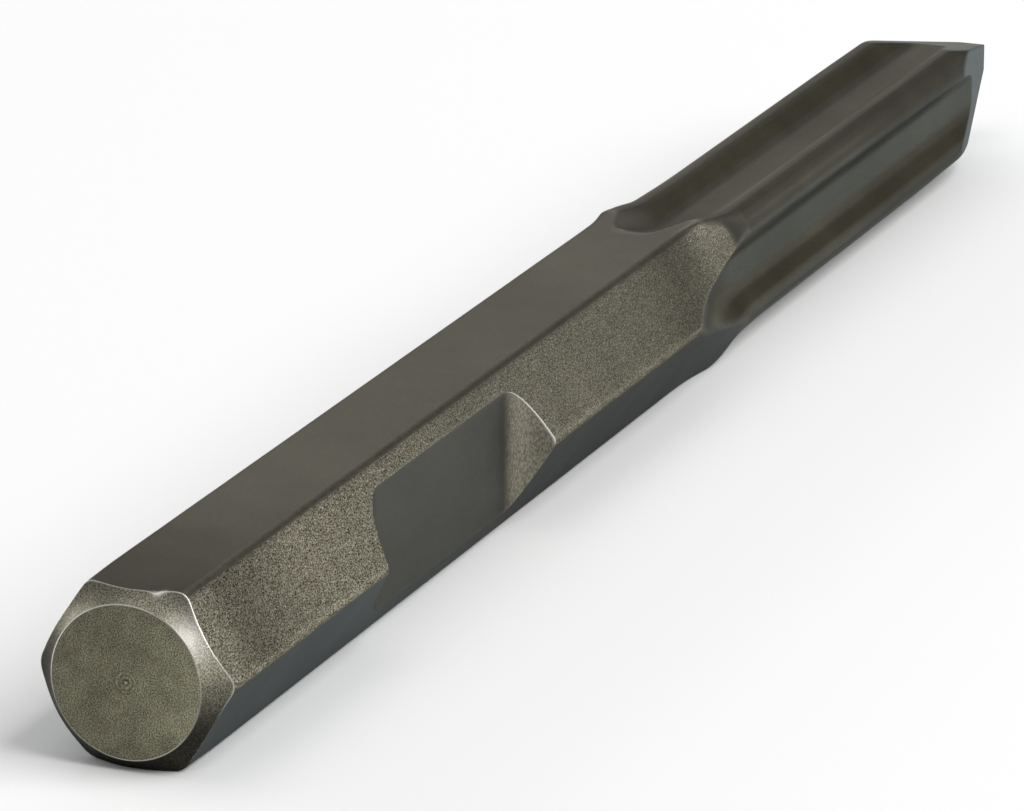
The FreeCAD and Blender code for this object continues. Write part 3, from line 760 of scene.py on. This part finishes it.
# shares and tones that tell the finishes where they lie on the forging
def markBit():
    at = Places(bit.data)
    upperSide = upperSideShare(at)
    marks = {
        "upperSide": upperSide,
        "shadedLowerSide": at.around("shadedLowerSide") * at.onBar,
        "lowerFar": at.fade("lowerFar"),
        "frontGrain": at.fade("frontGrain"),
        "darkCornerLine": darkCornerLineShare(at),
        "glare": at.around("glare"),
        "ramp": at.fade("ramp"),
        "pressed": 1 - at.onBar,
        "brownShadedFlank": brownShare(at),
        "coolReflection": at.facing("coolReflection"),
        # painted shadow below the rib edges
        "shadowUnderFillet": np.maximum(at.facing("shadowUnderFillet") * at.fade("shadowUnderFillet"),
                                  0.8 * at.facing("shadowUnderFilletTop") * at.fade("shadowUnderFilletTop")),
        "litSide": np.maximum(at.facing("litSide") * (1 - 0.7 * at.fade("litSide")),
                              at.facing("litUpper")),
        "litFromAbove": at.facing("litFromAbove"),
        "tone": endTone(at, notchTone(at, barTone(at, upperSide))),
    }
    marks.update(rimShares(at))
    for name, values in marks.items():
        held = bit.data.attributes.new(name, "FLOAT", "POINT")
        held.data.foreach_set("value", np.clip(values, 0, 3).astype(np.float32))


markBit()
print("finish marks laid")


# node trees for the finishes; every pattern is laid out in mm on the bit itself
class Finish:
    def __init__(self, name, edgeTint):
        self.made = bpy.data.materials.new(name)
        self.made.use_nodes = True
        self.tree = self.made.node_tree
        self.shader = self.tree.nodes["Principled BSDF"]
        self.shader.inputs["Metallic"].default_value = 1.0
        self.shader.inputs["Specular Tint"].default_value = (edgeTint, edgeTint, edgeTint, 1)
        coords = self.tree.nodes.new("ShaderNodeTexCoord")
        scaled = self.tree.nodes.new("ShaderNodeVectorMath")
        scaled.operation = "SCALE"
        scaled.inputs["Scale"].default_value = 1000.0
        self.tree.links.new(coords.outputs["Object"], scaled.inputs[0])
        self.place = scaled.outputs[0]

    def fill(self, socket, value):
        if isinstance(value, bpy.types.NodeSocket):
            self.tree.links.new(value, socket)
        else:
            socket.default_value = value

    def mark(self, name):
        made = self.tree.nodes.new("ShaderNodeAttribute")
        made.attribute_name = name
        return made.outputs["Fac"]

    # grain about size mm across, drawn out along an axis by a small stretch value
    def grain(self, size, detail=2.0, rough=0.5, stretch=None):
        where = self.place
        if stretch:
            mapped = self.tree.nodes.new("ShaderNodeMapping")
            mapped.inputs["Scale"].default_value = stretch
            self.tree.links.new(where, mapped.inputs["Vector"])
            where = mapped.outputs[0]
        made = self.tree.nodes.new("ShaderNodeTexNoise")
        self.fill(made.inputs["Vector"], where)
        self.fill(made.inputs["Scale"], 1.0 / size)
        self.fill(made.inputs["Detail"], detail)
        self.fill(made.inputs["Roughness"], rough)
        return made.outputs["Fac"]

    def spread(self, value, low, high, toLow=0.0, toHigh=1.0):
        made = self.tree.nodes.new("ShaderNodeMapRange")
        made.interpolation_type = "SMOOTHSTEP"
        for socket, number in zip(made.inputs, (value, low, high, toLow, toHigh)):
            self.fill(socket, number)
        return made.outputs[0]

    def times(self, first, second):
        made = self.tree.nodes.new("ShaderNodeMath")
        made.operation = "MULTIPLY"
        self.fill(made.inputs[0], first)
        self.fill(made.inputs[1], second)
        return made.outputs[0]

    # from the first colour to the second, by a share
    def blend(self, share, first, second):
        made = self.tree.nodes.new("ShaderNodeMix")
        made.data_type = "RGBA"
        self.fill(made.inputs[0], share)
        for index, value in ((6, first), (7, second)):
            isSocket = isinstance(value, bpy.types.NodeSocket)
            self.fill(made.inputs[index], value if isSocket else (*value, 1))
        return made.outputs[2]

    # darken or lighten a colour by a share near 1
    def shade(self, colour, share):
        made = self.tree.nodes.new("ShaderNodeVectorMath")
        made.operation = "SCALE"
        self.fill(made.inputs[0], colour)
        self.fill(made.inputs["Scale"], share)
        return made.outputs[0]

    # raised grain, as pairs of a pattern and its height in mm
    def relief(self, layers):
        normal = None
        for pattern, height in layers:
            made = self.tree.nodes.new("ShaderNodeBump")
            made.inputs["Distance"].default_value = height * mm
            self.fill(made.inputs["Height"], pattern)
            if normal:
                self.fill(made.inputs["Normal"], normal)
            normal = made.outputs[0]
        self.fill(self.shader.inputs["Normal"], normal)

    def finish(self, colour, roughness):
        self.fill(self.shader.inputs["Base Color"], colour)
        self.fill(self.shader.inputs["Roughness"], roughness)
        return self.made


# in each finish, grain sizes and relief heights are in mm
scaleFinish = {
    "bare": (0.150, 0.144, 0.120),
    # the colour of the painted cool reflection on the ribs
    "cool": (0.153, 0.161, 0.145),
    # the colour of the painted shadow below the rib edges
    "under": (0.104, 0.107, 0.096),
    "lit": (0.196, 0.189, 0.152),
    # brown scale, darkened as painted shade
    "brown": (0.126, 0.115, 0.084),
    "frontLow": (0.062, 0.055, 0.037),
    "frontHigh": (0.424, 0.400, 0.310),
    "farLow": (0.100, 0.095, 0.070),
    "farHigh": (0.350, 0.334, 0.263),
    "farSpark": (0.50, 0.49, 0.42),
    "spark": (0.80, 0.78, 0.68),
    # the lower side flats' blue-grey: a painted cool reflection
    "lowerNear": (0.132, 0.148, 0.148),
    "lowerFar": (0.130, 0.139, 0.134),
    # the colour of the dark line beside the upper flat
    "darkCornerLine": (0.110, 0.100, 0.079),
    "notchEdge": (0.27, 0.265, 0.225),
    # the colour of the painted highlights on rims and spots
    "brightRimsAndSpots": (0.82, 0.80, 0.75),
    "fineSize": 0.30,
    "speckSize": 0.25,
    "streakSize": 0.8,
    "driftSize": 22.0,
    "specksHigh": 0.05,
    "fineHigh": 0.010,
    "roughness": (0.40, 0.44),
}


def forgeScale():
    f, t = Finish("forge scale", 0.35), scaleFinish
    # on the ribs: a painted cool reflection, a painted shadow, painted light, and brown scale with
    # painted shade
    ribs = f.blend(f.mark("coolReflection"), t["bare"], t["cool"])
    ribs = f.blend(f.mark("shadowUnderFillet"), ribs, t["under"])
    ribs = f.blend(f.mark("litSide"), ribs, t["lit"])
    ribs = f.blend(f.mark("brownShadedFlank"), ribs, t["brown"])
    colour = f.blend(f.mark("pressed"), t["bare"], ribs)
    lower = f.blend(f.mark("lowerFar"), t["lowerNear"], t["lowerFar"])
    fine = f.grain(t["fineSize"], 2.0, 0.6)
    speck = f.grain(t["speckSize"], 3.0, 0.65, (0.7, 1, 1))
    front = f.blend(f.spread(speck, 0.38, 0.62), t["frontLow"], t["frontHigh"])
    front = f.blend(f.spread(speck, 0.62, 0.74), front, t["spark"])
    far = f.blend(f.spread(speck, 0.36, 0.66), t["farLow"], t["farHigh"])
    far = f.blend(f.spread(speck, 0.60, 0.72), far, t["farSpark"])
    blasted = f.blend(f.mark("frontGrain"), far, front)
    edge = f.spread(fine, 0.35, 0.65, 0.0, 0.5)  # the speckled side has a ragged edge
    # painted shade and a painted cool reflection on the lower side flats
    colour = f.blend(f.mark("shadedLowerSide"), colour, lower)
    colour = f.blend(f.spread(f.mark("upperSide"), edge, 1.0), colour, blasted)
    streaks = f.spread(f.grain(t["streakSize"], 3.0, 0.6, (0.5, 1, 1)), 0.3, 0.62, 0.35, 0.95)
    # the dark, streaked line beside the upper flat
    colour = f.blend(f.times(f.mark("darkCornerLine"), streaks), colour, t["darkCornerLine"])
    colour = f.blend(f.times(f.mark("notchEdge"), 0.5), colour, t["notchEdge"])
    # the tone mark lightens and darkens the scale, with painted highlights and painted shade among
    # it
    colour = f.shade(colour, f.mark("tone"))
    # painted highlights on the chamfer's rim, at the nick and on a spot
    colour = f.blend(f.mark("rim"), colour, t["brightRimsAndSpots"])
    drift = f.spread(f.grain(t["driftSize"], 2.0), 0.3, 0.7, 0.95, 1.05)
    colour = f.shade(colour, f.times(drift, f.spread(fine, 0.25, 0.75, 0.90, 1.10)))
    f.relief([(f.times(speck, f.mark("upperSide")), t["specksHigh"]), (fine, t["fineHigh"])])
    return f.finish(colour, f.spread(f.grain(9.0, 2.0), 0.3, 0.7, *t["roughness"]))


faceFinish = {
    "low": (0.072, 0.069, 0.042),
    "high": (0.268, 0.262, 0.190),
    "rust": (0.120, 0.098, 0.058),
    # the colour of the painted highlight round the face's rim
    "rim": (0.93, 0.92, 0.84),
    "speckSize": 0.23,
    "rustSize": 2.6,
    "cloudSize": 4.0,
    "specksHigh": 0.05,
    "roughness": (0.42, 0.52),
}


def turnedFace():
    f, t = Finish("turned face", 0.5), faceFinish
    speck = f.grain(t["speckSize"], 3.0, 0.65)
    colour = f.blend(f.spread(speck, 0.36, 0.66), t["low"], t["high"])
    blots = f.spread(f.grain(t["rustSize"], 3.0, 0.6), 0.52, 0.7, 0.0, 0.7)
    rust = f.times(blots, f.spread(f.grain(0.5, 2.0), 0.4, 0.6))
    colour = f.blend(rust, colour, t["rust"])
    cloud = f.spread(f.grain(t["cloudSize"], 4.0, 0.6), 0.3, 0.7, 0.84, 1.16)
    # the tone mark brings the face's painted light and shade and its tool marks
    colour = f.shade(colour, f.times(cloud, f.mark("tone")))
    # a painted highlight round the face's rim
    colour = f.blend(f.mark("faceRim"), colour, t["rim"])
    f.relief([(speck, t["specksHigh"])])
    return f.finish(colour, f.spread(f.grain(1.2), 0.3, 0.7, *t["roughness"]))


chamferFinish = {
    "low": (0.150, 0.140, 0.100),
    "high": (0.60, 0.572, 0.445),
    "glare": (0.30, 0.285, 0.265),
    "glareShare": 0.85,
    # the colour of the painted highlights on the chamfer's rims
    "rim": (0.82, 0.80, 0.74),
    "speckSize": 0.23,
    "specksHigh": 0.035,
    "roughness": (0.33, 0.42),
}


def turnedChamfer():
    f, t = Finish("turned chamfer", 0.6), chamferFinish
    speck = f.grain(t["speckSize"], 3.0, 0.65)
    colour = f.blend(f.spread(speck, 0.36, 0.66), t["low"], t["high"])
    colour = f.blend(f.times(f.mark("glare"), t["glareShare"]), colour, t["glare"])
    # the tone mark brings the chamfer's painted highlights and painted shade
    colour = f.shade(colour, f.mark("tone"))
    # painted highlights along the chamfer's outer rim and round the face's rim
    colour = f.blend(f.mark("rim"), colour, t["rim"])
    colour = f.blend(f.mark("faceRim"), colour, t["rim"])
    f.relief([(speck, t["specksHigh"])])
    return f.finish(colour, f.spread(f.grain(1.5), 0.3, 0.7, *t["roughness"]))


notchFinish = {
    "floorLow": (0.118, 0.121, 0.108),
    "floorHigh": (0.148, 0.151, 0.134),
    "rampLow": (0.140, 0.130, 0.098),
    "rampHigh": (0.270, 0.258, 0.202),
    # the colour of the painted highlight along the notch's far end
    "rim": (0.88, 0.86, 0.80),
    "grainSize": 0.30,
    "cloudSize": 6.0,
    "marksHigh": 0.04,
    "grainHigh": 0.010,
    "roughness": (0.39, 0.45),
}


def milledNotch():
    f, t = Finish("milled notch", 0.4), notchFinish
    speck = f.grain(t["grainSize"], 3.0, 0.6)
    cloud = f.spread(f.grain(t["cloudSize"], 3.0, 0.5, (0.4, 1, 1)), 0.3, 0.7, 0.97, 1.03)
    colour = f.blend(f.spread(speck, 0.3, 0.7), t["floorLow"], t["floorHigh"])
    cuts = f.grain(t["grainSize"], 2.0, 0.55, (1, 1, 0.55))
    ramp = f.blend(f.spread(cuts, 0.34, 0.66), t["rampLow"], t["rampHigh"])
    colour = f.blend(f.mark("ramp"), colour, ramp)
    # the tone mark brings the painted shade and light at the ramp
    colour = f.shade(colour, f.times(cloud, f.mark("tone")))
    # a painted highlight along the notch's far end
    colour = f.blend(f.mark("farRim"), colour, t["rim"])
    f.relief([(f.times(cuts, f.mark("ramp")), t["marksHigh"]), (speck, t["grainHigh"])])
    return f.finish(colour, f.spread(f.grain(4.0), 0.3, 0.7, *t["roughness"]))


pointFinish = {
    "low": (0.150, 0.185, 0.183),
    "high": (0.166, 0.200, 0.198),
    # the colour of the painted light on the point's upper facets
    "litFromAbove": (0.190, 0.195, 0.165),
    "cloudSize": 2.5,
    "cutSize": 0.3,
    "cutsHigh": 0.008,
    "roughness": (0.38, 0.46),
}


def groundPoint():
    f, t = Finish("ground point", 0.4), pointFinish
    cloud = f.grain(t["cloudSize"], 3.0)
    colour = f.blend(f.spread(cloud, 0.3, 0.7), t["low"], t["high"])
    # painted light on the point's upward faces
    colour = f.blend(f.mark("litFromAbove"), colour, t["litFromAbove"])
    colour = f.shade(colour, f.spread(f.grain(0.35, 2.0), 0.25, 0.75, 0.93, 1.07))
    f.relief([(f.grain(t["cutSize"], 2.0, 0.5, (0.3, 1, 1)), t["cutsHigh"])])
    return f.finish(colour, f.spread(cloud, 0.3, 0.7, *t["roughness"]))


for made in (forgeScale(), turnedFace(), turnedChamfer(), milledNotch(), groundPoint()):
    bit.data.materials.append(made)
slotOf = {"bar": 0, "ribs": 0, "face": 1, "hollow": 2, "notch": 3, "point": 4, "end": 4}
bit.data.polygons.foreach_set("material_index", [slotOf[k] for k in kinds])
print("finishes made")

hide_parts("chisel_bit")
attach(bit, "root")

# places in m from the middle of the striking face, and turns in degrees
studio = {
    "floorZ": -14.0 * mm,
    "floorSize": 16,
    "floorTone": 0.94,
    "floorRough": 0.9,
    "room": 0.27,
    "lampsAim": (0.2, 0, 0),
    "lamps": {
        "key": {"toward": (0.0, -0.67, 0.72), "away": 3.0, "size": (2.6, 2.6), "bright": 3.9},
        "panel": {"toward": (0.85, 0.42, 0.34), "away": 2.8, "size": (1.8, 1.4), "bright": 1.25},
        "left": {"toward": (0.25, 0.93, 0.25), "away": 2.8, "size": (1.8, 1.4), "bright": 3.2},
        "top": {"toward": (0.1, 0.3, 0.95), "away": 3.0, "size": (2.2, 2.2), "bright": 0.85},
        "front": {"toward": (-0.75, 0.25, 0.6), "away": 3.0, "size": (1.8, 1.8), "bright": 0.25},
    },
    "camera": {"place": (-0.970417, -0.442632, 0.372791), "turn": (72.8111, -0.28735, -68.45685),
               "lens": 267.638, "sensor": 36.0, "seesTo": 50.0},
}


def layFloor():
    place = (1.0, 0, studio["floorZ"])
    bpy.ops.mesh.primitive_plane_add(size=studio["floorSize"], location=place)
    floor = bpy.context.object
    floor.name = "floor"
    card = bpy.data.materials.new("pale card")
    card.use_nodes = True
    shader = card.node_tree.nodes["Principled BSDF"]
    shader.inputs["Base Color"].default_value = (*[studio["floorTone"]] * 3, 1)
    shader.inputs["Roughness"].default_value = studio["floorRough"]
    shader.inputs["Specular IOR Level"].default_value = 0.0
    floor.data.materials.append(card)


def hangLamps():
    for name, lamp in studio["lamps"].items():
        data = bpy.data.lights.new(name, "AREA")
        data.shape = "RECTANGLE"
        data.size, data.size_y = lamp["size"]
        data.energy = lamp["bright"] * math.pi * data.size * data.size_y
        made = bpy.data.objects.new(name, data)
        toward = Vector(lamp["toward"]).normalized()
        made.location = Vector(studio["lampsAim"]) + toward * lamp["away"]
        made.rotation_euler = toward.to_track_quat("Z", "Y").to_euler()
        scene.collection.objects.link(made)


def lightRoom():
    world = bpy.data.worlds.new("studio")
    scene.world = world
    world.use_nodes = True
    sky = world.node_tree.nodes["Background"]
    sky.inputs["Color"].default_value = (1, 1, 1, 1)
    sky.inputs["Strength"].default_value = studio["room"]


def placeCamera():
    view = studio["camera"]
    data = bpy.data.cameras.new("camera")
    data.lens = view["lens"]
    data.sensor_width = view["sensor"]
    data.clip_end = view["seesTo"]
    camera = bpy.data.objects.new("camera", data)
    camera.location = view["place"]
    camera.rotation_euler = Euler([math.radians(v) for v in view["turn"]], "XYZ")
    scene.collection.objects.link(camera)
    scene.camera = camera


layFloor()
hangLamps()
lightRoom()
placeCamera()
print("floor, lamps and camera set")
